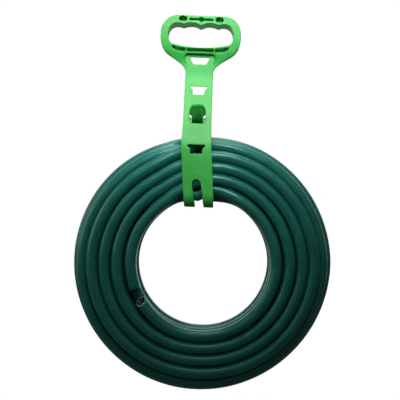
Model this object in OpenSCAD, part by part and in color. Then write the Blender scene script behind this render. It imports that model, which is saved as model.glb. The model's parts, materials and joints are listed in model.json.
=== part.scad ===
// Garden hose wound into a carrying coil and held by a moulded strap with a grip handle.
// Millimetres. +Z is up and -Y is the front. The origin is the hang point: the middle of
// the underside of the grip's top bar. The strap is drawn upright and then leaned as a whole.

/* [Hose] */
// Outside diameter of the hose
hose_od = 16; // [14:0.5:18]
// Bore of the hose
hose_bore = 12.5; // [10:0.5:13]
// Thickness of the inner liner
liner_wall = 0.8; // [0.6:0.1:0.9]
// Thickness of the braided yarn layer
braid_wall = 0.3; // [0.2:0.05:0.35]

/* [Coil] */
// Spacing of neighbouring turns
turn_pitch = 16.05; // [16:0.05:16.6]
// Turns side by side across the front of the bundle
turns_across = 5; // [5:1:5]
// Radius of the innermost turn's centreline
inner_turn_r = 95.4; // [90:0.2:100]
// Depth of the bundle, front to back
bundle_depth = 58.2; // [58:0.2:60]
// Rounding of the bundle's edges
bundle_round = 14; // [8:1:14]
// Height of the coil's centre below the hang point
coil_drop = 320; // [318:1:324]

/* [Free ends] */
// Length of each free end, from where it leaves the coil to its cut face
end_length = 108; // [100:1:115]
// Straight length at each cut face
end_straight = 16; // [12:1:20]
// Direction of the upper end's cut face, round the coil from +X towards +Z
upper_tip_angle = 201.4; // [198:1:203]
// Direction of the lower end's cut face
lower_tip_angle = 209; // [204:0.5:212]
// How much tighter a free end curls than the turn it comes from
end_curl = 4.2; // [3:0.2:6]

/* [Strap] */
// Lean of the handle and strap away from upright
strap_lean = 2.3; // [0:0.1:2.6]
// Thickness of the strap
strap_t = 2.8; // [2.4:0.1:3]
// Width of the strap at the neck
neck_w = 37.4; // [36:0.2:39]
// Width of the strap over the bundle
band_w = 40; // [38:0.2:42]
// Sideways shift of the strap's bottom run, from its lean being taken up by the coil
band_shift = 6.3; // [0:0.1:7]
// Slope of the strap between the neck and the bundle
strap_slope = 19; // [18:0.5:20]
// Height of the strap's bottom run below the hang point
strap_drop = 242.2; // [242:0.1:244]
// Gap between the two legs
leg_gap = 11.5; // [10:0.5:14]
// Clearance between the strap and the bundle
bundle_gap = 0.6; // [0.5:0.1:1]

/* [Slots] */
// Width of a slot's upper bar
slot_bar_w = 22.6; // [22:0.2:24]
// Height of a slot's upper bar
slot_bar_h = 4.4; // [4:0.2:5]
// Width of a slot's lower part
slot_low_w = 16; // [15.8:0.1:17]
// Full height of a slot
slot_h = 12; // [11:0.5:13]

/* [Tongue] */
// Thickness of the tongue
tongue_t = 2.4; // [2:0.1:2.6]
// Width of the tongue's neck
tongue_neck_w = 15.3; // [14:0.1:15.4]
// Width of the tongue's head
tongue_head_w = 22; // [20:0.5:22.2]
// Length of the tongue's head
tongue_head_l = 18.5; // [16:0.5:20]
// Slope of the tongue's head
tongue_lift = 52; // [45:1:55]

/* [Grip] */
// Width of the grip, outside
grip_w = 108.4; // [104:0.4:112]
// Depth of the grip, front to back
grip_depth = 24; // [22:0.5:26]
// Depth of the lower bar, front to back
bar_depth = 15; // [13:0.5:18]
// Width of the hand opening
opening_w = 88; // [84:0.5:90]
// Height of the grip's top above the hang point
grip_top = 13.5; // [12:0.5:15]
// Depth of the hand opening's floor below the hang point
opening_floor = 28.7; // [27:0.1:30]
// Underside of the lower bar below the hang point
lower_bar_bottom = 36.3; // [35:0.1:37]
// Thickness of the flanges and ribs of the lower bar
rib_t = 1.8; // [1.6:0.1:2.2]
// Thickness of the web inside the moulding
web_t = 3; // [2.6:0.2:4]

/* [Hidden] */
$fn = 64;

strap_green = [0.30, 0.80, 0.38];
shade_green = [0.16, 0.55, 0.22];
hose_green = [0.03, 0.27, 0.23];
yarn_green = [0.55, 0.75, 0.65];
liner_green = [0.02, 0.16, 0.13];

outer_turn_r = inner_turn_r + (turns_across - 1) * turn_pitch;
ring_in = inner_turn_r - hose_od / 2;
ring_out = outer_turn_r + hose_od / 2;
half_depth = bundle_depth / 2;
front_turn_y = half_depth - hose_od / 2 - 0.1;
lane_r = ring_in + hose_od + 0.5;
lane_z = half_depth - hose_od - 0.5;
joint_gap = 0.2;

strap_y = half_depth + bundle_gap + strap_t / 2;
neck_z = -60;
web_end_z = -76;
neck_bend_r = 60;
top_bend_r = 45;
leg_top_z = -213;
low_bend_r = 15;
over_bend_r = 27;
over_rise = 12;
tail_top_z = -160;
slot_tops = [-80.4, -120.3, -161.6];
first_slot_top = -40.4;
first_slot_bottom = -49.9;
tongue_start_y = -15;
tongue_bend_r = 9;
end_turn_r = inner_turn_r - end_curl;

// ---- Outline helpers: lists of points ----

// Points on an arc about [cx, cy], from angle a0 to a1
function arc(cx, cy, r, a0, a1, n = 8) =
    [for (i = [0:n]) let (a = a0 + (a1 - a0) * i / n) [cx + r * cos(a), cy + r * sin(a)]];

// Points on a cubic curve, without its first point
function curve(p, q, r, s, n = 8) =
    [for (i = [1:n]) let (t = i / n, u = 1 - t)
        u * u * u * p + 3 * u * u * t * q + 3 * u * t * t * r + t * t * t * s];

// An outline's right half followed by its mirror image
function both_sides(half) =
    concat(half, [for (i = [len(half) - 1:-1:0]) [-half[i][0], half[i][1]]]);

function unit(v) = v / norm(v);

// The direction of a path at its point i
function heading(path, i) =
    unit(path[min(i + 1, len(path) - 1)] - path[max(i - 1, 0)]);

// A band of constant thickness along a path
function band(path, t) = concat(
    [for (i = [0:len(path) - 1]) let (h = heading(path, i)) path[i] + [-h[1], h[0]] * t / 2],
    [for (i = [len(path) - 1:-1:0]) let (h = heading(path, i)) path[i] - [-h[1], h[0]] * t / 2]);

// ---- The strap's path, seen from the side as [y, z] ----

neck_end = [-neck_bend_r * (1 - cos(strap_slope)), neck_z - neck_bend_r * sin(strap_slope)];
slope_drop = (strap_y + neck_end[0] - top_bend_r * (1 - cos(strap_slope))) / tan(strap_slope);
slope_end_z = neck_end[1] - slope_drop;
band_top_z = slope_end_z - top_bend_r * sin(strap_slope);

neck_bend = arc(-neck_bend_r, neck_z, neck_bend_r, 0, -strap_slope, 8);
top_bend = arc(top_bend_r - strap_y, band_top_z, top_bend_r, 180 - strap_slope, 180, 8);
front_path = concat(neck_bend, top_bend, [[-strap_y, leg_top_z]]);
low_bend_z = -strap_drop + low_bend_r;
leg_path = concat([[-strap_y, leg_top_z]],
    arc(low_bend_r - strap_y, low_bend_z, low_bend_r, 180, 270),
    arc(strap_y - low_bend_r, low_bend_z, low_bend_r, 270, 360),
    [[strap_y, leg_top_z]]);
over_bend = arc(strap_y - over_bend_r, tail_top_z, over_bend_r, 0, 90 - over_rise);
over_end = over_bend[len(over_bend) - 1];
tongue_start = [tongue_start_y, over_end[1] + (over_end[0] - tongue_start_y) * tan(over_rise)];
tail_path = concat([[strap_y, leg_top_z]], over_bend, [tongue_start]);

tongue_root = tongue_start + 8.5 * [-cos(over_rise), sin(over_rise)];
tongue_bend = arc(tongue_root[0] + tongue_bend_r * sin(over_rise),
    tongue_root[1] + tongue_bend_r * cos(over_rise), tongue_bend_r,
    270 - over_rise, 270 - tongue_lift, 6);
head_root = tongue_bend[len(tongue_bend) - 1];
tongue_path = concat([tongue_start], tongue_bend, [head_root + [-cos(tongue_lift), sin(tongue_lift)]]);

// ---- Pieces of the strap ----

module lean() { rotate([0, strap_lean, 0]) children(); }

// A side profile, [y, z], given a width along X
module across(width) {
    rotate([90, 0, 90]) linear_extrude(height = width, center = true) children();
}

// A front outline, [x, z], given a depth along Y
module through(depth) {
    rotate([90, 0, 0]) linear_extrude(height = depth, center = true) children();
}

// Middle of the strap, across its width, at a height
function middle_x(z) = z > -163 ? 0 : band_shift * (-163 - z) / (strap_drop - 163);

// Middle of the fork at a height: it swings across a little more than the strap does
function fork_x(z) = middle_x(z) - 1.9 + 2.5 * (leg_top_z - z) / (strap_drop + leg_top_z);

module strap_outline() {
    half = [[neck_w / 2, neck_z + 1], [neck_w / 2 + 0.2, -130], [band_w / 2, -163],
        [band_w / 2, -205], [band_w / 2 - 0.6, -strap_drop - strap_t]];
    polygon([for (p = both_sides(half)) [p[0] + middle_x(p[1]), p[1]]]);
}

module slot_outline(top) {
    shoulder = 1;
    polygon(both_sides([[slot_bar_w / 2, top], [slot_bar_w / 2, top - slot_bar_h + shoulder],
        [slot_low_w / 2, top - slot_bar_h], [slot_low_w / 2, top - slot_h]]));
}

module fork_outline() {
    top = [fork_x(leg_top_z), leg_top_z];
    foot = [fork_x(-strap_drop - 10), -strap_drop - 10];
    half = [leg_gap / 2, 0];
    translate(top) circle(d = leg_gap);
    polygon([top - half, top + half, foot + half, foot - half]);
}

// All that lies to one side of the fork's middle
module fork_side(side) {
    far = [side * 60, 0];
    top = [fork_x(leg_top_z), leg_top_z];
    foot = [fork_x(-strap_drop - 10), -strap_drop - 10];
    polygon([top + [0, 5], top + [side * 60, 5], foot + far, foot]);
}

module strap_band(path, t = strap_t) {
    intersection() {
        across(60) polygon(band(path, t));
        through(200) strap_outline();
    }
}

module neck_web() {
    color(strap_green) lean() intersection() {
        strap_band(front_path);
        translate([0, 0, (neck_z + web_end_z) / 2]) cube([60, 60, neck_z - web_end_z], center = true);
    }
}

module front_strap() {
    color(strap_green) lean() difference() {
        strap_band(front_path);
        translate([-30, -30, web_end_z]) cube([60, 60, 60]);
        through(200) {
            for (top = slot_tops) slot_outline(top);
            fork_outline();
        }
    }
}

module leg(side) {
    color(shade_green) lean() difference() {
        intersection() {
            strap_band(leg_path);
            through(200) fork_side(side);
        }
        through(200) fork_outline();
    }
}

module left_leg() { leg(-1); }

module right_leg() { leg(1); }

// The strap behind the bundle, narrowing over its top to the tongue's width
module rear_strap() {
    neck = tongue_neck_w / 2;
    color(shade_green) lean() difference() {
        intersection() {
            across(60) polygon(band(tail_path, strap_t));
            linear_extrude(height = 600, center = true) polygon(both_sides([[neck, -30], [neck, -8],
                [band_w / 2 - 1.5, 16], [32, 30], [32, 40]]));
            through(200) strap_outline();
        }
        translate([0, strap_y, 0]) through(20) fork_outline();
    }
}

// The tongue goes forward through a slot, turns up and ends in a head wider than the slot's foot
module tongue() {
    wide = tongue_head_w / 2;
    color(shade_green) lean() {
        across(tongue_neck_w) polygon(band(tongue_path, tongue_t));
        translate([0, head_root[0], head_root[1]]) rotate([270 - tongue_lift, 0, 0])
            rotate([90, 0, 0]) linear_extrude(height = tongue_t, center = true)
                mirror([0, 1]) polygon(both_sides(concat([[wide - 2.5, 0], [wide, 2], [wide, 6.5]],
                    curve([wide, 6.5], [wide, 13], [wide * 0.62, tongue_head_l], [0.01, tongue_head_l]))));
    }
}

// ---- The grip ----

module grip_outline() {
    side = grip_w / 2;
    neck = neck_w / 2;
    polygon(both_sides(concat([[0.01, grip_top], [30, grip_top]],
        curve([30, grip_top], [44, grip_top], [side, 4], [side, -14]),
        curve([side, -14], [side, -28], [side - 6, -34], [side - 13, -39]),
        curve([side - 13, -39], [side - 24, -46], [neck + 1, -53], [neck, neck_z]))));
}

// One finger's hollow in the underside of the top bar
module opening_outline() {
    half = opening_w / 2;
    finger = 23.6;
    polygon(both_sides(concat([[0.01, 0]],
        curve([0.01, 0], [4, 1.5], [7, 3.5], [finger / 2, 3.5], 5),
        curve([finger / 2, 3.5], [finger * 0.7, 3.5], [finger * 0.85, 2.5], [finger, 0.8], 5),
        curve([finger, 0.8], [27, 2.2], [29, 2.6], [31, 2.6], 4),
        curve([31, 2.6], [39, 2.6], [half, -4], [half, -12]),
        curve([half, -12], [half, -19], [half - 3, -23.6], [half - 6, -24.6], 5),
        curve([half - 6, -24.6], [24, -27.6], [12, -opening_floor], [0.01, -opening_floor], 6))));
}

// Hollows moulded into the front and back of the grip, down to its web
module grip_pockets() {
    floor_z = -opening_floor - 1.4;
    bottom_z = -lower_bar_bottom + rib_t;
    rib_x = 19.3;
    for (side = [-1, 1]) {
        translate([side * 24.5, 8.7]) scale([1, 0.66]) circle(d = 11);
        polygon([[side * (rib_x + rib_t / 2), floor_z + 0.3], [side * 30, -29], [side * 39.2, -26.6],
            [side * 37, -30.8], [side * 31, -34], [side * 25, -35.5],
            [side * (rib_x + rib_t / 2), bottom_z - 1.3]]);
    }
    translate([0, 8.2]) square([32, 2.6], center = true);
    translate([0, 8.2]) circle(d = 6.4);
    translate([-rib_x + rib_t / 2, bottom_z]) square([2 * rib_x - rib_t, floor_z - bottom_z]);
}

// The window below the lower bar, where the moulding is only as thick as the strap
module thin_window() {
    half = neck_w / 2 + 1.6;
    polygon(both_sides([[half - 3.6, -lower_bar_bottom], [half - 1.2, -lower_bar_bottom - 0.9],
        [half, -lower_bar_bottom - 3.4], [half - 0.6, -46], [half - 2.2, -52], [half - 2.6, neck_z - 5]]));
}

// The rim's side profile: full depth round the hand opening, thinning down to the strap
module rim_profile() {
    half = grip_depth / 2;
    low = bar_depth / 2;
    edge = concat([[half, grip_top + 5], [half, 4]],
        curve([half, 4], [half, -14], [low + 3, -24], [low + 0.6, -33], 10),
        curve([low + 0.6, -33], [low - 0.8, -38], [3.4, -43.5], [strap_t / 2 + 0.7, -50]),
        [[strap_t / 2, neck_z]]);
    polygon(concat(edge, [for (i = [len(edge) - 1:-1:0]) [-edge[i][0], edge[i][1]]]));
}

module first_slot() {
    polygon(both_sides([[13.2, first_slot_top], [12.6, first_slot_top - 2.4],
        [slot_low_w / 2 + 0.6, first_slot_bottom]]));
}

module grip_handle() {
    color(strap_green) lean() difference() {
        intersection() {
            through(60) grip_outline();
            across(200) rim_profile();
        }
        through(60) opening_outline();
        for (face = [-1, 1]) {
            translate([0, face * (web_t / 2 + 20), 0]) through(40) grip_pockets();
            translate([0, face * (strap_t / 2 + 20), 0]) through(40) thin_window();
        }
        through(60) first_slot();
    }
}

// ---- The hose ----

// Coil coordinates: X and Y lie in the coil's plane, Z points to the front
module coil_frame() { translate([0, 0, -coil_drop]) rotate([90, 0, 0]) children(); }

// The bundle's section beyond its innermost turns
module outer_section() {
    rc = bundle_round;
    polygon(concat([[lane_r, half_depth], [lane_r, -half_depth]],
        arc(ring_out - rc, rc - half_depth, rc, 270, 360, 6),
        arc(ring_out - rc, half_depth - rc, rc, 0, 90, 6)));
}

// The innermost turns' section, behind the front one
module inner_section() {
    rc = bundle_round;
    polygon(concat([[lane_r, -half_depth], [lane_r, lane_z], [ring_in, lane_z]],
        arc(ring_in + rc, rc - half_depth, rc, 180, 270, 6)));
}

end_arc = (end_length - end_straight) / end_turn_r * 180 / PI;
end_span = end_length / inner_turn_r * 180 / PI;
upper_joint_angle = upper_tip_angle - end_span;
lower_joint_angle = lower_tip_angle + end_span;

module outer_turns() { color(hose_green) coil_frame() rotate_extrude() outer_section(); }

module inner_turns() { color(hose_green) coil_frame() rotate_extrude() inner_section(); }

// The hose's own first and last part-turn in the coil, between its two free ends
module leading_turn() {
    color(hose_green) coil_frame() rotate([0, 0, lower_joint_angle + joint_gap])
        rotate_extrude(angle = 360 - lower_joint_angle + upper_joint_angle - 2 * joint_gap)
            translate([inner_turn_r, front_turn_y]) circle(d = hose_od);
}

// One layer of a free end: curled to its straight tip, drawn towards +Y from the joint on +X
module end_layer(outside, inside) {
    module ring() {
        difference() {
            circle(d = outside);
            circle(d = inside);
        }
    }
    translate([inner_turn_r - end_turn_r, 0, front_turn_y]) rotate([0, 0, end_arc]) {
        rotate_extrude(angle = -end_arc) translate([end_turn_r, 0]) ring();
        translate([end_turn_r, 0, 0]) rotate([-90, 0, 0]) linear_extrude(height = end_straight) ring();
    }
}

module upper_end(outside, inside) {
    coil_frame() rotate([0, 0, upper_joint_angle]) end_layer(outside, inside);
}

module lower_end(outside, inside) {
    coil_frame() rotate([0, 0, lower_joint_angle]) mirror([0, 1, 0]) end_layer(outside, inside);
}

liner_od = hose_bore + 2 * liner_wall;
braid_od = liner_od + 2 * braid_wall;

module upper_end_cover() { color(hose_green) upper_end(hose_od, braid_od); }
module upper_end_braid() { color(yarn_green) upper_end(braid_od, liner_od); }
module upper_end_liner() { color(liner_green) upper_end(liner_od, hose_bore); }
module lower_end_cover() { color(hose_green) lower_end(hose_od, braid_od); }
module lower_end_braid() { color(yarn_green) lower_end(braid_od, liner_od); }
module lower_end_liner() { color(liner_green) lower_end(liner_od, hose_bore); }

grip_handle();
neck_web();
front_strap();
left_leg();
right_leg();
rear_strap();
tongue();
outer_turns();
inner_turns();
leading_turn();
upper_end_cover();
upper_end_braid();
upper_end_liner();
lower_end_cover();
lower_end_braid();
lower_end_liner();
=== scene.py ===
"""Green garden hose wound into a coil and hung in a moulded carrying strap with a grip handle."""

import json
import logging
import math
from collections.abc import Sequence
from dataclasses import dataclass, field
from enum import Enum

import bpy
import numpy as np
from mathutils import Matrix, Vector

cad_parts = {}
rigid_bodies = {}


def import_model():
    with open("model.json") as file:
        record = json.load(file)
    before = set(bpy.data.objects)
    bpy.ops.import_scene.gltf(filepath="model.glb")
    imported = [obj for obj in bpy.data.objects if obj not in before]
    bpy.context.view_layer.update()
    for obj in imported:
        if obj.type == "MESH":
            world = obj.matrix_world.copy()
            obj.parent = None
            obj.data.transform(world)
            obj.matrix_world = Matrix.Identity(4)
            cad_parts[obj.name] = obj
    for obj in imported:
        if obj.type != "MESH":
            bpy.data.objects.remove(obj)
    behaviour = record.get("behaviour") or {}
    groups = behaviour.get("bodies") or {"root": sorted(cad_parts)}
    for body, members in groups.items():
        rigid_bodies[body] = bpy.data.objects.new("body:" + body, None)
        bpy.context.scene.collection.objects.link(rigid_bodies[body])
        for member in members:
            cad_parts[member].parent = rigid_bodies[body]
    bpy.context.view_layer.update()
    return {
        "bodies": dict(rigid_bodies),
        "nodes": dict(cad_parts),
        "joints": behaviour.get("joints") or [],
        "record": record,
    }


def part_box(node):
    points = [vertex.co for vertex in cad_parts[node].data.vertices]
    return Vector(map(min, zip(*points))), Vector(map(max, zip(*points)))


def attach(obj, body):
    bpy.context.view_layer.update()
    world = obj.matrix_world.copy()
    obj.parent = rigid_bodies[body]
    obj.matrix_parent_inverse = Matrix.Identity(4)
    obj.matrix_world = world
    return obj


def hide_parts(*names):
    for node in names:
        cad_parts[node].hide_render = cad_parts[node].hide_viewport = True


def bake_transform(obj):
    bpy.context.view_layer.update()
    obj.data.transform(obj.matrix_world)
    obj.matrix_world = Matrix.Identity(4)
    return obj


LOG = logging.getLogger("hose_coil")
MM = 0.001


class Layer(Enum):
    """The layers of the hose wall that show at a cut end, from the outside in."""

    COVER = 0
    YARN = 1
    LINER = 2
    # The bore's inside wall, which is dressed near black as painted shade.
    BORE = 3


# ---------------------------------------------------------------- shader helpers


class Wire:
    """A number socket of a node tree that takes part in Python arithmetic."""

    def __init__(self, shader: "ShaderTree", socket: bpy.types.NodeSocket) -> None:
        """Wrap one output socket.

        Args:
            shader: The tree that the socket belongs to.
            socket: The output socket.
        """
        self.shader = shader
        self.socket = socket

    def __add__(self, other: "Wire | float") -> "Wire":
        """Sum of two values."""
        return self.shader.maths("ADD", self, other)

    def __radd__(self, other: float) -> "Wire":
        """Sum with a number on the left."""
        return self.shader.maths("ADD", other, self)

    def __sub__(self, other: "Wire | float") -> "Wire":
        """Difference of two values."""
        return self.shader.maths("SUBTRACT", self, other)

    def __rsub__(self, other: float) -> "Wire":
        """Difference with a number on the left."""
        return self.shader.maths("SUBTRACT", other, self)

    def __mul__(self, other: "Wire | float") -> "Wire":
        """Product of two values."""
        return self.shader.maths("MULTIPLY", self, other)

    def __rmul__(self, other: float) -> "Wire":
        """Product with a number on the left."""
        return self.shader.maths("MULTIPLY", other, self)

    def sine(self) -> "Wire":
        """Sine of the value."""
        return self.shader.maths("SINE", self)

    def larger(self, other: "Wire | float") -> "Wire":
        """The larger of two values."""
        return self.shader.maths("MAXIMUM", self, other)

    def step(self, low: float, high: float) -> "Wire":
        """Smooth step of the value from 0 at low to 1 at high."""
        return Wire(self.shader, self.shader.node(
            "ShaderNodeMapRange", {"interpolation_type": "SMOOTHSTEP"},
            {"Value": self, "From Min": low, "From Max": high}).outputs["Result"])


class ShaderTree:
    """The shader of a material or a world, under construction."""

    def __init__(self, owner: bpy.types.Material | bpy.types.World) -> None:
        """Start an empty tree.

        Args:
            owner: The new material or world.
        """
        self.owner = owner
        owner.use_nodes = True
        self.tree = owner.node_tree
        self.tree.nodes.clear()

    def node(self, kind: str, settings: dict | None = None,
             inputs: dict | None = None) -> bpy.types.Node:
        """Add a node, set it up and feed its sockets.

        Args:
            kind: The node's type name.
            settings: Properties that are set first; "ramp" holds a colour ramp's stops.
            inputs: Values, wires or sockets, by the input's name or number.

        Returns:
            The new node.
        """
        made = self.tree.nodes.new(kind)
        for key, value in (settings or {}).items():
            if key == "ramp":
                stops = made.color_ramp.elements
                while len(stops) < len(value):
                    stops.new(0.5)
                for stop, (place, colour) in zip(stops, value):
                    stop.position, stop.color = place, (*colour, 1.0)
            else:
                setattr(made, key, value)
        for key, value in (inputs or {}).items():
            self.feed(made.inputs[key], value)
        return made

    def feed(self, socket: bpy.types.NodeSocket, value: object) -> None:
        """Give a socket a value or a link.

        Args:
            socket: The input socket.
            value: A number, a colour, a wire or an output socket.
        """
        if isinstance(value, Wire):
            value = value.socket
        if isinstance(value, bpy.types.NodeSocket):
            self.tree.links.new(value, socket)
        elif isinstance(value, tuple) and socket.type == "RGBA":
            socket.default_value = (*value[:3], 1.0)
        else:
            socket.default_value = value

    def maths(self, operation: str, *values: Wire | float) -> Wire:
        """Add one Math node and return its result."""
        made = self.node("ShaderNodeMath", {"operation": operation}, dict(enumerate(values)))
        return Wire(self, made.outputs[0])

    def place(self) -> bpy.types.NodeSocket:
        """Object coordinates, in metres."""
        return self.node("ShaderNodeTexCoord").outputs["Object"]

    def surface(self) -> tuple[Wire, Wire]:
        """Read the piece's own UV map.

        Returns:
            Two wires, along the piece and round it.
        """
        uv = self.node("ShaderNodeUVMap", {"uv_map": "UVMap"}).outputs["UV"]
        split = self.node("ShaderNodeSeparateXYZ", None, {"Vector": uv})
        return Wire(self, split.outputs["X"]), Wire(self, split.outputs["Y"])

    def noise(self, scale: float, detail: float, rough: float = 0.5) -> Wire:
        """Noise at a number of features to the metre, on Object coordinates."""
        return Wire(self, self.node("ShaderNodeTexNoise", None, {
            "Vector": self.place(), "Scale": scale, "Detail": detail,
            "Roughness": rough}).outputs["Fac"])

    def mix(self, low: object, high: object, share: Wire | float) -> bpy.types.NodeSocket:
        """Mix two colours by a share."""
        inputs = {0: share, 6: low, 7: high}
        return self.node("ShaderNodeMix", {"data_type": "RGBA"}, inputs).outputs[2]

    def bump(self, height: Wire, depth: float, strength: float,
             after: bpy.types.NodeSocket | None = None) -> bpy.types.NodeSocket:
        """Add a Bump node.

        Args:
            height: The relief, from 0 to 1.
            depth: What it stands for, in metres.
            strength: How much of it shows.
            after: A normal that this relief lies on.

        Returns:
            The bumped normal.
        """
        inputs = {"Height": height, "Distance": depth, "Strength": strength}
        if after is not None:
            inputs["Normal"] = after
        return self.node("ShaderNodeBump", None, inputs).outputs["Normal"]

    def finish(self, inputs: dict) -> bpy.types.Material:
        """Close the tree with one Principled shader.

        Args:
            inputs: What the shader's sockets get.

        Returns:
            The finished material.
        """
        shader = self.node("ShaderNodeBsdfPrincipled", None, inputs)
        self.node("ShaderNodeOutputMaterial", None, {"Surface": shader.outputs[0]})
        return self.owner


# ---------------------------------------------------------------- finishes


@dataclass(frozen=True)
class MouldedStrapPlastic:
    """Bright green polypropylene as it leaves its mould: satin, slightly flowed and scuffed."""

    colour: tuple[float, float, float] = (0.03, 0.40, 0.06)
    deep: tuple[float, float, float] = (0.018, 0.35, 0.034)
    pale: tuple[float, float, float] = (0.11, 0.48, 0.14)
    roughness: float = 0.46

    def make(self) -> bpy.types.Material:
        """Build the material.

        Returns:
            The material, ready for a piece.
        """
        s = ShaderTree(bpy.data.materials.new("strap_plastic"))
        flow = s.noise(26.0, 3.0)
        speck = s.noise(900.0, 2.0)
        scuff = s.noise(140.0, 5.0, rough=0.65).step(0.56, 0.7)
        tone = s.mix(self.deep, self.colour, flow.step(0.3, 0.6))
        tone = s.mix(tone, self.pale, scuff * 0.3)
        rough = self.roughness + 0.12 * flow + 0.1 * scuff
        grain = s.bump(speck, 0.00006, 0.35)
        sag = s.bump(s.noise(60.0, 2.0), 0.0005, 0.3, grain)
        return s.finish({"Base Color": tone, "Roughness": rough, "Normal": sag,
                         "Subsurface Weight": 0.12, "Subsurface Radius": (0.6, 1.0, 0.5),
                         "Subsurface Scale": 0.002, "IOR": 1.49})


@dataclass(frozen=True)
class BraidedHoseSkin:
    """Glossy see-through green cover over a net of paler yarn.

    The UV map runs in metres along the hose and once round it.
    """

    ground: tuple[float, float, float] = (0.0008, 0.034, 0.026)
    yarn: tuple[float, float, float] = (0.02, 0.24, 0.19)
    haze: tuple[float, float, float] = (0.002, 0.06, 0.047)
    yarns: int = 13
    lead: float = 0.038
    roughness: float = 0.28

    def make(self) -> bpy.types.Material:
        """Build the material.

        Returns:
            The material, ready for a piece.
        """
        s = ShaderTree(bpy.data.materials.new("hose_cover"))
        along, around = s.surface()
        turn = 2 * math.pi * self.yarns
        one = (around * turn + along * (turn / self.lead)).sine()
        two = (around * turn - along * (turn / self.lead)).sine()
        net = one.step(0.25, 0.85).larger(two.step(0.25, 0.85))
        wear = s.noise(45.0, 3.0)
        haze = s.noise(9.0, 2.0)
        ground = s.mix(self.ground, self.haze, haze.step(0.35, 0.7))
        tone = s.mix(ground, self.yarn, net * (0.4 + 0.6 * wear))
        rough = self.roughness + 0.16 * wear - 0.05 * net
        relief = s.bump(net, 0.00022, 0.5)
        dents = s.bump(s.noise(120.0, 2.0), 0.0004, 0.25, relief)
        return s.finish({"Base Color": tone, "Roughness": rough, "Normal": dents, "IOR": 1.5,
                         "Specular Tint": (0.45, 1.0, 0.88), "Coat Weight": 0.25,
                         "Coat Roughness": 0.18, "Coat Tint": (0.6, 1.0, 0.92)})


@dataclass(frozen=True)
class CutHoseFinish:
    """What a knife leaves at a hose end: plain plastic rings with a ring of yarn between them. It
    also makes the bore's wall, which is given a near-black colour as painted shade deep in the hose.
    """

    name: str
    colour: tuple[float, float, float]
    pale: tuple[float, float, float]
    roughness: float

    def make(self) -> bpy.types.Material:
        """Build the material.

        Returns:
            The material, ready for a piece.
        """
        s = ShaderTree(bpy.data.materials.new(self.name))
        grain = s.noise(1500.0, 3.0)
        drag = s.noise(350.0, 4.0)
        tone = s.mix(self.colour, self.pale, drag.step(0.35, 0.75))
        return s.finish({"Base Color": tone, "Roughness": self.roughness + 0.15 * grain,
                         "Normal": s.bump(grain, 0.00012, 0.6), "IOR": 1.5})


# ---------------------------------------------------------------- modelling helpers


def only(*pieces: bpy.types.Object) -> None:
    """Select some pieces and nothing else.

    Args:
        pieces: What to select; the first becomes active.
    """
    if bpy.context.object and bpy.context.object.mode != "OBJECT":
        bpy.ops.object.mode_set(mode="OBJECT")
    bpy.ops.object.select_all(action="DESELECT")
    for piece in pieces:
        piece.select_set(True)
    bpy.context.view_layer.objects.active = pieces[0]


def copy_of_nodes(name: str, nodes: Sequence[str], frame: dict) -> bpy.types.Object:
    """Copy CAD nodes into one new closed mesh at the origin.

    Args:
        name: The new piece's name.
        nodes: The CAD nodes to copy.

    Returns:
        The new piece, with its doubled points merged.
    """
    copies = []
    for node in nodes:
        source = frame["nodes"][node]
        copy = bpy.data.objects.new(f"{name}_{node}", source.data.copy())
        copy.data.materials.clear()
        bpy.context.scene.collection.objects.link(copy)
        copies.append(copy)
    only(*copies)
    if len(copies) > 1:
        bpy.ops.object.join()
    piece = bpy.context.view_layer.objects.active
    piece.name = piece.data.name = name
    bpy.ops.object.mode_set(mode="EDIT")
    bpy.ops.mesh.select_all(action="SELECT")
    bpy.ops.mesh.remove_doubles(threshold=0.00001)
    bpy.ops.object.mode_set(mode="OBJECT")
    return piece


def weather(piece: bpy.types.Object, voxel: float, passes: int) -> None:
    """Give a moulding its rounded edges: remesh it finely, then relax the surface.

    Args:
        piece: The piece to work on.
        voxel: The remesh's cell, in metres.
        passes: How many times the surface is relaxed.
    """
    only(piece)
    remesh = piece.modifiers.new("skin", "REMESH")
    remesh.mode, remesh.voxel_size, remesh.adaptivity = "VOXEL", voxel, 0.0
    bpy.ops.object.modifier_apply(modifier=remesh.name)
    relax = piece.modifiers.new("relax", "SMOOTH")
    relax.factor, relax.iterations = 0.5, passes
    bpy.ops.object.modifier_apply(modifier=relax.name)
    bpy.ops.object.shade_smooth()


def rounded_bar(name: str, size: Vector, centre: Vector, tilt: float,
                round_by: float) -> bpy.types.Object:
    """Model a small bar with rounded edges, tilted about X.

    Args:
        name: The bar's name.
        size: Its size before the tilt.
        centre: Its middle.
        tilt: Turn about X, in radians.
        round_by: Width of the rounding.

    Returns:
        The bar, with its place in its mesh.
    """
    bpy.ops.mesh.primitive_cube_add(size=1.0)
    bar = bpy.context.object
    bar.name = bar.data.name = name
    bar.scale = size
    bar.rotation_euler = (tilt, 0.0, 0.0)
    bar.location = centre
    bpy.ops.object.transform_apply(location=True, rotation=True, scale=True)
    bpy.ops.object.mode_set(mode="EDIT")
    bpy.ops.mesh.select_all(action="SELECT")
    bpy.ops.mesh.bevel(offset=round_by, segments=3, affect="EDGES")
    bpy.ops.object.mode_set(mode="OBJECT")
    return bar


def join_into(piece: bpy.types.Object, extras: Sequence[bpy.types.Object]) -> None:
    """Join extra shapes into a piece."""
    only(piece, *extras)
    bpy.ops.object.join()


def dress(piece: bpy.types.Object, materials: Sequence[bpy.types.Material]) -> None:
    """Give a piece its materials.

    Args:
        piece: The piece to dress.
        materials: Its materials, in the order of its material indices.
    """
    if piece.data.materials:
        piece.data.materials.clear()
    for material in materials:
        piece.data.materials.append(material)


# ---------------------------------------------------------------- camera and studio


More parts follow.
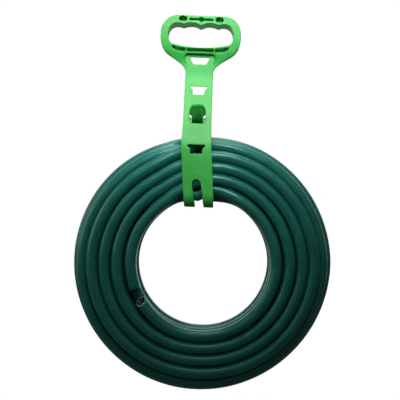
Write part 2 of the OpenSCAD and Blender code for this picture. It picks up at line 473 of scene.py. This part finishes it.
@dataclass
class Camera:
    """The camera, level and square on to the front.

    Its focal length is a share of the sensor's width, which is in millimetres.
    """

    place: tuple[float, float, float] = (-0.0016, -0.890, -0.234)
    focal_share: float = 1.636
    sensor: float = 36.0
    clip: tuple[float, float] = (0.02, 30.0)

    def build(self) -> None:
        """Make the camera and use it."""
        data = bpy.data.cameras.new("camera")
        data.sensor_width = self.sensor
        data.lens = self.focal_share * self.sensor
        data.clip_start, data.clip_end = self.clip
        camera = bpy.data.objects.new("camera", data)
        camera.location = self.place
        camera.rotation_euler = (math.radians(90), 0.0, 0.0)
        bpy.context.scene.collection.objects.link(camera)
        bpy.context.scene.camera = camera


@dataclass(frozen=True)
class Lamp:
    """One square soft light: its place and aim, its side, its power and the spread of its beam."""

    name: str
    place: tuple[float, float, float]
    target: tuple[float, float, float]
    side: float
    power: float
    spread: float = 180.0

    def build(self) -> None:
        """Add the light to the scene."""
        data = bpy.data.lights.new(self.name, "AREA")
        data.shape, data.size, data.energy = "SQUARE", self.side, self.power
        data.spread = math.radians(self.spread)
        lamp = bpy.data.objects.new(self.name, data)
        aim = Vector(self.target) - Vector(self.place)
        lamp.location = self.place
        lamp.rotation_euler = aim.to_track_quat("-Z", "Y").to_euler()
        bpy.context.scene.collection.objects.link(lamp)


@dataclass
class Studio:
    """A white room: a pale floor, even surroundings and soft light from above."""

    floor_drop: float = 0.68
    floor_size: float = 9.0
    floor_grey: tuple[float, float, float] = (0.12, 0.12, 0.12)
    white: tuple[float, float, float] = (1.0, 1.0, 1.0)
    daylight: tuple[float, float, float] = (0.97, 1.0, 1.0)
    ambient: float = 0.15
    lamps: tuple[Lamp, ...] = (
        Lamp("key_light", (0.0, -0.42, 0.22), (0.0, -0.01, -0.02), 0.3, 0.62, 54.0),
        Lamp("sky_light", (0.0, 0.05, 1.1), (0.0, 0.0, -0.3), 0.9, 13.0),
        Lamp("side_light", (-1.3, -0.25, 0.15), (0.0, 0.0, -0.3), 0.8, 4.0),
        Lamp("back_light", (0.0, 1.7, -0.2), (0.0, 0.0, -0.25), 3.0, 30.0))

    def build(self) -> None:
        """Make the world, the floor and the lights."""
        bpy.context.scene.view_settings.view_transform = "Standard"
        self._world()
        self._floor()
        for lamp in self.lamps:
            lamp.build()

    def _world(self) -> None:
        """White to look at, softer as a light."""
        room = ShaderTree(bpy.data.worlds.new("room"))
        bpy.context.scene.world = room.owner
        seen = room.node("ShaderNodeBackground", None, {"Color": self.white, "Strength": 1.0})
        lit = room.node("ShaderNodeBackground", None,
                        {"Color": self.daylight, "Strength": self.ambient})
        self._seen_and_lit(room, seen, lit, "ShaderNodeOutputWorld")

    def _floor(self) -> None:
        """A plain pale floor that melts into the room."""
        bpy.ops.object.select_all(action="DESELECT")
        bpy.ops.mesh.primitive_circle_add(vertices=96, radius=self.floor_size, fill_type="NGON",
                                          location=(0.0, 0.0, -self.floor_drop))
        floor = bpy.context.object
        floor.name = "floor"
        bpy.ops.object.transform_apply(location=True, rotation=True, scale=True)
        pale = ShaderTree(bpy.data.materials.new("pale_floor"))
        seen = pale.node("ShaderNodeEmission", None, {"Color": self.white})
        lit = pale.node("ShaderNodeBsdfDiffuse", None, {"Color": self.floor_grey})
        self._seen_and_lit(pale, seen, lit, "ShaderNodeOutputMaterial")
        floor.data.materials.append(pale.owner)

    def _seen_and_lit(self, s: ShaderTree, seen: bpy.types.Node, lit: bpy.types.Node,
                      out: str) -> None:
        """Show the camera one shader and light the object with another.

        Args:
            s: The tree of both.
            seen: What the camera sees.
            lit: What all other light meets.
            out: The kind of the tree's output node.
        """
        share = s.node("ShaderNodeLightPath").outputs["Is Camera Ray"]
        mixed = s.node("ShaderNodeMixShader", None,
                       {0: share, 1: lit.outputs[0], 2: seen.outputs[0]})
        s.node(out, None, {"Surface": mixed.outputs[0]})


# ---------------------------------------------------------------- the hose


def ease(share: np.ndarray) -> np.ndarray:
    """Smooth step of a share that is held between 0 and 1."""
    share = np.clip(share, 0.0, 1.0)
    return share * share * (3 - 2 * share)


@dataclass
class HoseRoute:
    """The whole hose's centreline, from one cut end, round the coil, to the other.

    Sizes are in metres and angles in degrees. A place in the coil's section is (radius, depth),
    and an angle runs from +X towards +Z round the coil's centre. Each turn has a cell of the
    section, (lane, row); the hose crosses from cell to cell by the strap. A lane's swell, in
    millimetres at each angle of swell_at, is how far its turns stand out from a true circle.
    """

    centre: Vector
    lower_joint: Vector
    upper_joint: Vector
    pitch: float = 16.05 * MM
    rows: tuple[float, ...] = (-21.0 * MM, -6.6 * MM, 7.2 * MM, 21.0 * MM)
    nested_row: int = 2
    nested_r: float = 101.0 * MM
    nested_pitch: float = 15.5 * MM
    hose_r: float = 8.0 * MM
    curl: float = 4.2 * MM
    end_length: float = 108.0 * MM
    straight: float = 16.0 * MM
    step: float = 6.0 * MM
    crossing: float = 459.0
    crossing_half: float = 22.0
    first_early: float = 30.0
    last_late: float = 3.0
    last_half: float = 21.0
    lower_hold: tuple[float, float] = (30.0, 25.0)
    upper_hold: tuple[float, float] = (112.0, 14.0)
    rounds: int = 90
    push: float = 0.42
    pull: float = 0.06
    sink: float = 0.5 * MM
    row_slack: float = 0.1 * MM
    lane_slack: float = 4.0 * MM
    smoothing: int = 11
    slice_step: float = 0.5
    settle_over: float = 12.0
    wander: float = 0.35 * MM
    waves: tuple[tuple[float, float, float], ...] = (
        (1.0, 0.73, 1.1), (1.0, 1.61, 0.4), (0.6, 2.9, 2.0))
    order: tuple[tuple[int, int], ...] = (
        (0, 0), (0, 1), (0, 2), (0, 3), (1, 3), (1, 2), (1, 1), (2, 1), (2, 2), (2, 3), (3, 3),
        (4, 3), (4, 2), (3, 2), (3, 1), (4, 1), (3, 0), (2, 0), (1, 0), (0, 0))
    swell: dict[int, tuple[float, ...]] = field(default_factory=lambda: {
        0: (4.6, 4.6, 3.0, 1.0, 0.0, 0.0, 0.0, 2.0, 4.6),
        1: (6.5, 5.0, 3.0, 2.4, 2.2, 1.8, -0.3, 2.6, 6.5),
        2: (6.5, 4.6, 2.0, 1.5, 1.8, 1.6, -0.6, 2.6, 6.5),
        3: (6.0, 3.4, 0.0, 0.0, 1.2, 1.4, -0.8, 2.2, 6.0),
        4: (3.4, -0.3, -2.4, -2.2, -0.4, 0.6, 1.2, 2.2, 3.4)})
    swell_at: tuple[float, ...] = (0.0, 65.0, 90.0, 112.0, 136.0, 180.0, 269.0, 312.0, 360.0)

    def __post_init__(self) -> None:
        """Work out the joints' angles and the lane that the free ends lie in."""
        low, high = self.lower_joint - self.centre, self.upper_joint - self.centre
        self.lane_r = math.hypot(low.x, low.z)
        self.start = math.degrees(math.atan2(low.z, low.x)) % 360
        self.stop = math.degrees(math.atan2(high.z, high.x)) % 360 + 360 * (len(self.order) - 1)

    def cell(self, index: int, angle: np.ndarray) -> np.ndarray:
        """Find a turn's place in the section.

        Args:
            index: The turn, counted from the lower end.
            angle: Angles round the coil.

        Returns:
            One row of radius and depth for each angle.
        """
        lane, row = self.order[index]
        if row == self.nested_row:
            radius = self.nested_r + self.nested_pitch * lane
        else:
            radius = self.lane_r + self.pitch * lane
        bulge = np.interp(angle % 360, self.swell_at, self.swell[lane]) * MM
        return np.stack([radius + bulge, np.full_like(bulge, self.rows[row])], axis=1)

    def base(self, angle: np.ndarray) -> np.ndarray:
        """Find where the hose would lie if its turns didn't push one another.

        Args:
            angle: Unwrapped angles.

        Returns:
            One row of radius and depth for each angle.
        """
        last = len(self.order) - 1
        done = np.zeros((len(angle), 2))
        weight = np.zeros((len(angle), len(self.order)))
        weight[:, 0] = 1.0
        for change in range(last):
            middle, half = self.crossing + 360.0 * change, self.crossing_half
            if change == 0:
                middle -= self.first_early
            elif change == last - 1:
                middle, half = middle + self.last_late, self.last_half
            crossed = ease((angle - middle + half) / (2 * half))
            weight[:, change + 1] = weight[:, change] * crossed
            weight[:, change] *= 1 - crossed
        for index in range(len(self.order)):
            done += weight[:, index:index + 1] * self.cell(index, angle)
        return done

    def end_arc(self, tip_side: int) -> tuple[np.ndarray, np.ndarray]:
        """A free end's centreline in the coil's plane.

        Args:
            tip_side: 1 where the tip lies at a growing angle from the joint, -1 otherwise.

        Returns:
            Lengths from the joint and the points (x, z) about the coil's centre.
        """
        angle = math.radians(self.stop if tip_side > 0 else self.start)
        out = np.array([math.cos(angle), math.sin(angle)])
        on = np.array([-math.sin(angle), math.cos(angle)]) * tip_side
        radius = self.lane_r - self.curl
        bent = self.end_length - self.straight
        lengths = np.concatenate([np.arange(0.0, bent, self.step / 2),
                                  np.linspace(bent, self.end_length, 5)])
        turn = np.minimum(lengths, bent) / radius
        beyond = np.maximum(lengths - bent, 0.0)
        a = self.curl + radius * np.cos(turn) - beyond * np.sin(turn)
        b = radius * np.sin(turn) + beyond * np.cos(turn)
        return lengths, a[:, None] * out + b[:, None] * on

    def _end_profiles(self) -> list[tuple[np.ndarray, np.ndarray]]:
        """Find where the two free ends run in the coil's plane.

        Returns:
            The angles and radii of the upper end and of the lower end, by growing angle.
        """
        profiles = []
        for side in (1, -1):
            _, points = self.end_arc(side)
            at = np.degrees(np.arctan2(points[:, 1], points[:, 0])) % 360
            order = np.argsort(at)
            profiles.append((at[order], np.hypot(points[:, 0], points[:, 1])[order]))
        return profiles

    def _homes(self, angle: np.ndarray) -> tuple[np.ndarray, np.ndarray, np.ndarray]:
        """Where every turn would lie with nothing in its way.

        Args:
            angle: Unwrapped angles, one row a slice of the coil and one column a turn.

        Returns:
            The places, which of them hold hose, and how free each is to move, from 0 to 1.
        """
        slices = angle[:, 0]
        home = self.base(angle.ravel()).reshape(*angle.shape, 2)
        upper, lower = self._end_profiles()
        for turn, (at, radius) in ((-1, upper), (0, lower)):
            inside = (slices >= at[0]) & (slices <= at[-1])
            home[inside, turn, 0] = np.interp(slices[inside], at, radius)
            home[inside, turn, 1] = self.rows[0]
        filled = np.ones(angle.shape, bool)
        filled[:, 0] = slices >= lower[0][0]
        filled[:, -1] = slices <= upper[0][-1]
        held = np.zeros(angle.shape)
        reach, fade = self.lower_hold
        held[:, 0] = np.clip((self.start + reach - slices) / fade, 0.0, 1.0)
        reach, fade = self.upper_hold
        held[:, -1] = np.clip((slices - reach) / fade, 0.0, 1.0)
        return home, filled, (1.0 - held)[:, :, None]

    def relaxed(self) -> tuple[np.ndarray, np.ndarray]:
        """Let the turns push one another apart, slice by slice round the coil.

        Returns:
            Unwrapped angles at one-degree steps, and the places there.
        """
        count = len(self.order)
        angle = np.arange(360.0)[:, None] + 360.0 * np.arange(count)[None, :]
        home, filled, free = self._homes(angle)
        place = home.copy()
        gap = 2 * self.hose_r - self.sink
        pair = filled[:, :, None] & filled[:, None, :] & ~np.eye(count, dtype=bool)[None]
        front, back = self.rows[0] - self.row_slack, self.rows[-1] + self.row_slack
        for _ in range(self.rounds):
            apart = place[:, :, None, :] - place[:, None, :, :]
            distance = np.sqrt((apart ** 2).sum(-1)) + 1e-9
            push = np.where(pair & (distance < gap), (gap - distance) / distance, 0.0)
            place = place + self.push * (push[..., None] * apart).sum(2) * free
            place = place + self.pull * (home - place) * free
            place[..., 1] = np.clip(place[..., 1], front, back)
            place[..., 0] = np.clip(place[..., 0], self.lane_r - self.lane_slack, None)
        flat = place.transpose(1, 0, 2).reshape(-1, 2)
        kernel = np.hanning(self.smoothing)
        kernel /= kernel.sum()
        flat = np.pad(flat, ((self.smoothing // 2, self.smoothing // 2), (0, 0)), mode="edge")
        smooth = [np.convolve(flat[:, column], kernel, "valid") for column in range(2)]
        return angle.T.ravel(), np.stack(smooth, axis=1)

    def build(self) -> None:
        """Lay the line out and cut it into its lower end, the coil and its upper end."""
        angle, place = self.relaxed()
        fine = np.arange(self.start, self.stop, self.slice_step)
        radius = np.interp(fine, angle, place[:, 0])
        depth = np.interp(fine, angle, place[:, 1])
        settle = ease(np.minimum(fine - self.start, self.stop - fine) / self.settle_over)
        turn = np.radians(fine)
        wave = sum(size * np.sin(turn * rate + phase) for size, rate, phase in self.waves)
        radius = self.lane_r + (radius + self.wander * wave - self.lane_r) * settle
        depth = self.rows[0] + (depth - self.rows[0]) * settle
        coil = np.stack([radius * np.cos(turn), depth, radius * np.sin(turn)], axis=1)
        _, lower = self.end_arc(-1)
        _, upper = self.end_arc(1)
        lower = np.insert(lower[::-1], 1, self.rows[0], axis=1)
        upper = np.insert(upper, 1, self.rows[0], axis=1)
        middle = self._even(coil)
        self.points = np.concatenate([lower, middle[1:-1], upper]) + np.array(self.centre)
        self.first, self.last = len(lower) - 1, len(lower) + len(middle) - 2
        gaps = np.linalg.norm(np.diff(self.points, axis=0), axis=1)
        self.lengths = np.concatenate([[0.0], np.cumsum(gaps)])

    def _even(self, points: np.ndarray) -> np.ndarray:
        """Space points evenly along their line.

        Args:
            points: The line's points.

        Returns:
            New points on it, one step apart.
        """
        run = np.concatenate([[0.0], np.cumsum(np.linalg.norm(np.diff(points, axis=0), axis=1))])
        at = np.linspace(0.0, run[-1], int(round(run[-1] / self.step)) + 1)
        return np.stack([np.interp(at, run, points[:, c]) for c in range(3)], axis=1)


@dataclass
class Hose:
    """The hose as three tubes on one line: the long coil and its two free ends.

    The walls are the radii of the outside, of the yarn's two sides and of the bore.
    """

    route: HoseRoute
    skin: bpy.types.Material
    rings: dict[Layer, bpy.types.Material]
    sides: int = 20
    walls: tuple[float, ...] = (7.95 * MM, 7.3 * MM, 7.0 * MM, 6.25 * MM)
    lip: float = 0.35 * MM
    bore_depth: float = 70.0 * MM
    cut_slant: dict[str, float] = field(default_factory=lambda: {"lower": 30.0, "upper": 13.0})
    smooth_below: float = math.radians(40)

    @property
    def radius(self) -> float:
        """The outside radius."""
        return self.walls[0]

    def frames(self) -> tuple[np.ndarray, np.ndarray]:
        """Find two directions across the hose at every point.

        Returns:
            The direction nearest to the front, and the one square to it.
        """
        points = self.route.points
        ahead = np.gradient(points, axis=0)
        ahead /= np.linalg.norm(ahead, axis=1)[:, None]
        front = np.array([0.0, -1.0, 0.0]) - ahead * -ahead[:, 1:2]
        front /= np.linalg.norm(front, axis=1)[:, None]
        return front, np.cross(ahead, front)

    def tube(self, name: str, rings: Sequence[tuple[int, float, float, float]],
             layers: Sequence[Layer], across: tuple[np.ndarray, np.ndarray]) -> bpy.types.Object:
        """Make one closed tube from rings along the line.

        Args:
            name: The piece's name.
            rings: For each ring its point's index, its radius, a shift along the line, and the
                slant that shifts each place by its distance from the hose's back.
            layers: The layer of each band between two rings; its order is the material order.
            across: What frames() returned.

        Returns:
            The tube, with UVs in metres along the hose and once round it.
        """
        points, (front, side) = self.route.points, across
        turn = np.linspace(0.0, 2 * math.pi, self.sides, endpoint=False)
        verts, along = [], []
        for index, radius, shift, slant in rings:
            ahead = np.cross(front[index], side[index])
            moved = shift + slant * (self.radius + radius * np.cos(turn))
            verts.append(points[index] + ahead * moved[:, None]
                         + radius * (np.cos(turn)[:, None] * front[index]
                                     + np.sin(turn)[:, None] * side[index]))
            along.append(self.route.lengths[index] + moved)
        faces, uvs, kinds = [], [], []
        n = self.sides
        for band, layer in enumerate(layers):
            here, there = band * n, (band + 1) * n
            for k in range(n):
                nxt = (k + 1) % n
                faces.append((here + k, here + nxt, there + nxt, there + k))
                uvs += [(along[band][k], k / n), (along[band][nxt], (k + 1) / n),
                        (along[band + 1][nxt], (k + 1) / n), (along[band + 1][k], k / n)]
                kinds.append(layer.value)
        # Each cap takes its end band's material; at a free end's tip that is the near-black bore
        # material, so the disc that closes the bore is painted shade.
        for base, flip in ((0, True), ((len(rings) - 1) * n, False)):
            cap = [base + k for k in range(n)]
            faces.append(tuple(reversed(cap)) if flip else tuple(cap))
            uvs += [(along[0 if flip else -1][0], 0.5)] * n
            kinds.append(layers[0 if flip else -1].value)
        mesh = bpy.data.meshes.new(name)
        mesh.from_pydata(np.concatenate(verts).tolist(), [], faces)
        layer_map = mesh.uv_layers.new(name="UVMap")
        layer_map.data.foreach_set("uv", np.array(uvs, np.float32).ravel())
        mesh.polygons.foreach_set("material_index", np.array(kinds, np.int32))
        mesh.update()
        piece = bpy.data.objects.new(name, mesh)
        bpy.context.scene.collection.objects.link(piece)
        only(piece)
        bpy.ops.object.mode_set(mode="EDIT")
        bpy.ops.mesh.select_all(action="SELECT")
        bpy.ops.mesh.normals_make_consistent(inside=False)
        bpy.ops.object.mode_set(mode="OBJECT")
        bpy.ops.object.shade_smooth_by_angle(angle=self.smooth_below)
        return piece

    def end_rings(self, indices: Sequence[int], tip_sign: float,
                  slant: float) -> tuple[list, list]:
        """The rings of a free end: up its outside, over its cut face and down its bore.

        Args:
            indices: The points from the joint to the tip.
            tip_sign: 1 where the tip is the line's last point, -1 where it is its first.
            slant: How far the knife's cut leans back at the front, in degrees.

        Returns:
            The rings and the layer of each band.
        """
        tip, lengths = indices[-1], self.route.lengths
        lean = -tip_sign * math.tan(math.radians(slant))
        clear = 2 * self.radius * abs(lean) + 1.0 * MM
        whole = [i for i in indices[:-1] if abs(lengths[i] - lengths[tip]) > clear]
        rings = [(i, self.radius, 0.0, 0.0) for i in whole]
        layers = [Layer.COVER] * (len(rings) - 1)
        outside, yarn_out, yarn_in, bore = self.walls
        # The last band of the cut face turns into the bore and takes the near-black bore material:
        # painted shade.
        for radius, shift, layer in (
                (outside, -self.lip, Layer.COVER), (outside - self.lip, 0.0, Layer.COVER),
                (yarn_out, 0.0, Layer.LINER), (yarn_in, -self.lip * 0.6, Layer.YARN),
                (bore + self.lip * 0.5, 0.0, Layer.LINER), (bore, -self.lip, Layer.BORE)):
            rings.append((tip, radius, shift * tip_sign, lean))
            layers.append(layer)
        # The rings down the bore take the near-black bore material: painted shade deep inside the
        # hose.
        for i in reversed(whole):
            if abs(lengths[i] - lengths[tip]) > self.bore_depth:
                break
            rings.append((i, bore, 0.0, 0.0))
            layers.append(Layer.BORE)
        return rings, layers

    def build(self) -> list[bpy.types.Object]:
        """Returns:
            The long coil, the lower end and the upper end.
        """
        route, across = self.route, self.frames()
        run = range(route.first, route.last + 1)
        points, lengths = route.points, route.lengths
        coil = self.tube("hose_turns", [(i, self.radius, 0.0, 0.0) for i in run],
                         [Layer.COVER] * (len(run) - 1), across)
        dress(coil, [self.skin])
        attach(coil, "coil")
        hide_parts("outer_turns", "inner_turns", "leading_turn")
        made = [coil]
        parts = (("lower", list(range(route.first, -1, -1)), -1.0),
                 ("upper", list(range(route.last, len(points))), 1.0))
        for where, indices, sign in parts:
            rings, layers = self.end_rings(indices, sign, self.cut_slant[where])
            end = self.tube(f"{where}_free_end", rings, layers, across)
            dress(end, [self.skin] + [self.rings[k] for k in (Layer.YARN, Layer.LINER, Layer.BORE)])
            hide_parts(*(f"{where}_end_{part}" for part in ("cover", "braid", "liner")))
            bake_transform(end)
            made.append(end)
        return made


# ---------------------------------------------------------------- the moulding


class Side(Enum):
    """Which side of a cut is kept."""

    ABOVE = 0
    BELOW = 1


@dataclass
class Moulding:
    """The one-piece moulding: grip, slotted front, two legs and the hooked rear.

    It is divided where it bends. Each length is skinned together with its neighbours and then cut
    free, so that the lengths meet without a step. The cuts lie square to the leaning strap.
    """

    plastic: bpy.types.Material
    lean: float = math.radians(2.3)
    neck_cut: float = -60.0 * MM
    neck_foot: float = -78.0 * MM
    leg_cut: float = -213.0 * MM
    voxel: float = 0.6 * MM
    passes: int = 5
    head_slope: float = 52.0
    head_length: float = 18.5 * MM
    rib: Vector = field(default_factory=lambda: Vector((1.5 * MM, 15.0 * MM, 2.4 * MM)))
    rib_spacing: float = 3.5 * MM
    rib_place: float = 0.55
    rib_sink: float = 0.9 * MM
    rib_rounding: float = 0.3 * MM
    foot_round: float = 4.0 * MM
    foot_bend: float = 0.7
    smooth_below: float = math.radians(50)

    def build(self, frame: dict) -> list[bpy.types.Object]:
        """Model the four lengths; fix the grip and the rear to their bodies."""
        return [self._grip(frame), self._front(frame), self._legs(frame), self._rear(frame)]

    def _cut(self, piece: bpy.types.Object, along: float, keep: Side) -> None:
        """Cut a piece square to the strap and close the cut.

        Args:
            piece: The piece to cut.
            along: Where the cut is, measured up the strap from the hang point.
            keep: The side that stays.
        """
        normal = Vector((math.sin(self.lean), 0.0, math.cos(self.lean)))
        only(piece)
        bpy.ops.object.mode_set(mode="EDIT")
        bpy.ops.mesh.select_all(action="SELECT")
        bpy.ops.mesh.bisect(plane_co=normal * along, plane_no=normal, use_fill=True,
                            clear_inner=keep is Side.ABOVE, clear_outer=keep is Side.BELOW)
        bpy.ops.object.mode_set(mode="OBJECT")
        bpy.ops.object.shade_smooth_by_angle(angle=self.smooth_below)

    def _finish(self, piece: bpy.types.Object, *nodes: str) -> None:
        """Dress a length and hide the CAD nodes it stands for."""
        dress(piece, [self.plastic])
        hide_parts(*nodes)

    def _grip(self, frame: dict) -> bpy.types.Object:
        """Model the thick grip, with its hand opening and pockets.


        Returns:
            The finished length.
        """
        grip = copy_of_nodes("grip_moulding", ["grip_handle", "neck_web", "front_strap"], frame)
        weather(grip, self.voxel, self.passes)
        self._cut(grip, self.neck_cut, Side.ABOVE)
        self._finish(grip, "grip_handle")
        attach(grip, "grip")
        return grip

    def _front(self, frame: dict) -> bpy.types.Object:
        """Model the slotted front, cut free below its neck and above the legs.

        Returns:
            The finished length.
        """
        nodes = ["grip_handle", "neck_web", "front_strap", "left_leg", "right_leg"]
        front = copy_of_nodes("strap_front", nodes, frame)
        weather(front, self.voxel, self.passes)
        self._cut(front, self.neck_cut, Side.BELOW)
        self._cut(front, self.leg_cut, Side.ABOVE)
        self._finish(front, "neck_web", "front_strap")
        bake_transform(front)
        return front

    def _legs(self, frame: dict) -> bpy.types.Object:
        """Model the two legs, cut free below the front.

        Returns:
            The finished length.
        """
        nodes = ["front_strap", "left_leg", "right_leg", "rear_strap"]
        legs = copy_of_nodes("strap_legs", nodes, frame)
        weather(legs, self.voxel, self.passes)
        self._cut(legs, self.leg_cut, Side.BELOW)
        self._finish(legs, "left_leg", "right_leg")
        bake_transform(legs)
        return legs

    def _rear(self, frame: dict) -> bpy.types.Object:
        """Model the rear strap with its tongue, and the ribs under the tongue's head.


        Returns:
            The finished length.
        """
        rear = copy_of_nodes("strap_rear", ["rear_strap", "tongue", "left_leg", "right_leg"], frame)
        low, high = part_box("tongue")
        slope = math.radians(self.head_slope)
        along = Vector((0.0, -math.cos(slope), math.sin(slope)))
        under = Vector((0.0, -math.sin(slope), -math.cos(slope)))
        tip = Vector(((low.x + high.x) / 2, low.y, high.z))
        middle = tip - along * self.head_length * self.rib_place + under * self.rib_sink
        ribs = [rounded_bar(f"rib_{k}", self.rib, middle + Vector((k * self.rib_spacing, 0.0, 0.0)),
                            math.pi - slope, self.rib_rounding) for k in (-1, 0, 1)]
        join_into(rear, ribs)
        weather(rear, self.voxel, self.passes)
        self._cut(rear, self.leg_cut, Side.ABOVE)
        self._finish(rear, "rear_strap", "tongue")
        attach(rear, "tail")
        return rear


# ---------------------------------------------------------------- the whole object


def joint_place(frame: dict, name: str) -> Vector:
    """Where a joint of the frame is."""
    return Vector(next(j for j in frame["joints"] if j["name"] == name)["pos_m"])


def main() -> None:
    """Load the frame, build every piece and log the hose's length and each piece's face count."""
    logging.basicConfig(level=logging.INFO, format="%(name)s: %(message)s")
    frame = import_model()
    Camera().build()
    Studio().build()
    joints = []
    for name in ("lower_end_swing", "upper_end_swing"):
        place = joint_place(frame, name)
        joints.append(Vector((place.x, HoseRoute.rows[0], place.z)))
    route = HoseRoute(joint_place(frame, "coil_turn"), *joints)
    route.build()
    LOG.info("hose is %.2f m long on %d points", route.lengths[-1], len(route.points))
    rings = {
        Layer.YARN: CutHoseFinish("cut_yarn", (0.18, 0.36, 0.28), (0.4, 0.6, 0.5), 0.75).make(),
        Layer.LINER: CutHoseFinish("cut_plastic", (0.05, 0.3, 0.23), (0.16, 0.5, 0.41), 0.3).make(),
        # The bore's wall is near black: painted shade deep inside the hose, where the inner wall is
        # really the green liner plastic.
        Layer.BORE: CutHoseFinish("bore_wall_painted_shade", (0.002, 0.02, 0.016), (0.004, 0.04, 0.03), 0.4).make()}
    pieces = Hose(route, BraidedHoseSkin().make(), rings).build()
    pieces += Moulding(MouldedStrapPlastic().make()).build(frame)
    for piece in pieces:
        LOG.info("%s: %d faces", piece.name, len(piece.data.polygons))


if __name__ == "__main__":
    main()
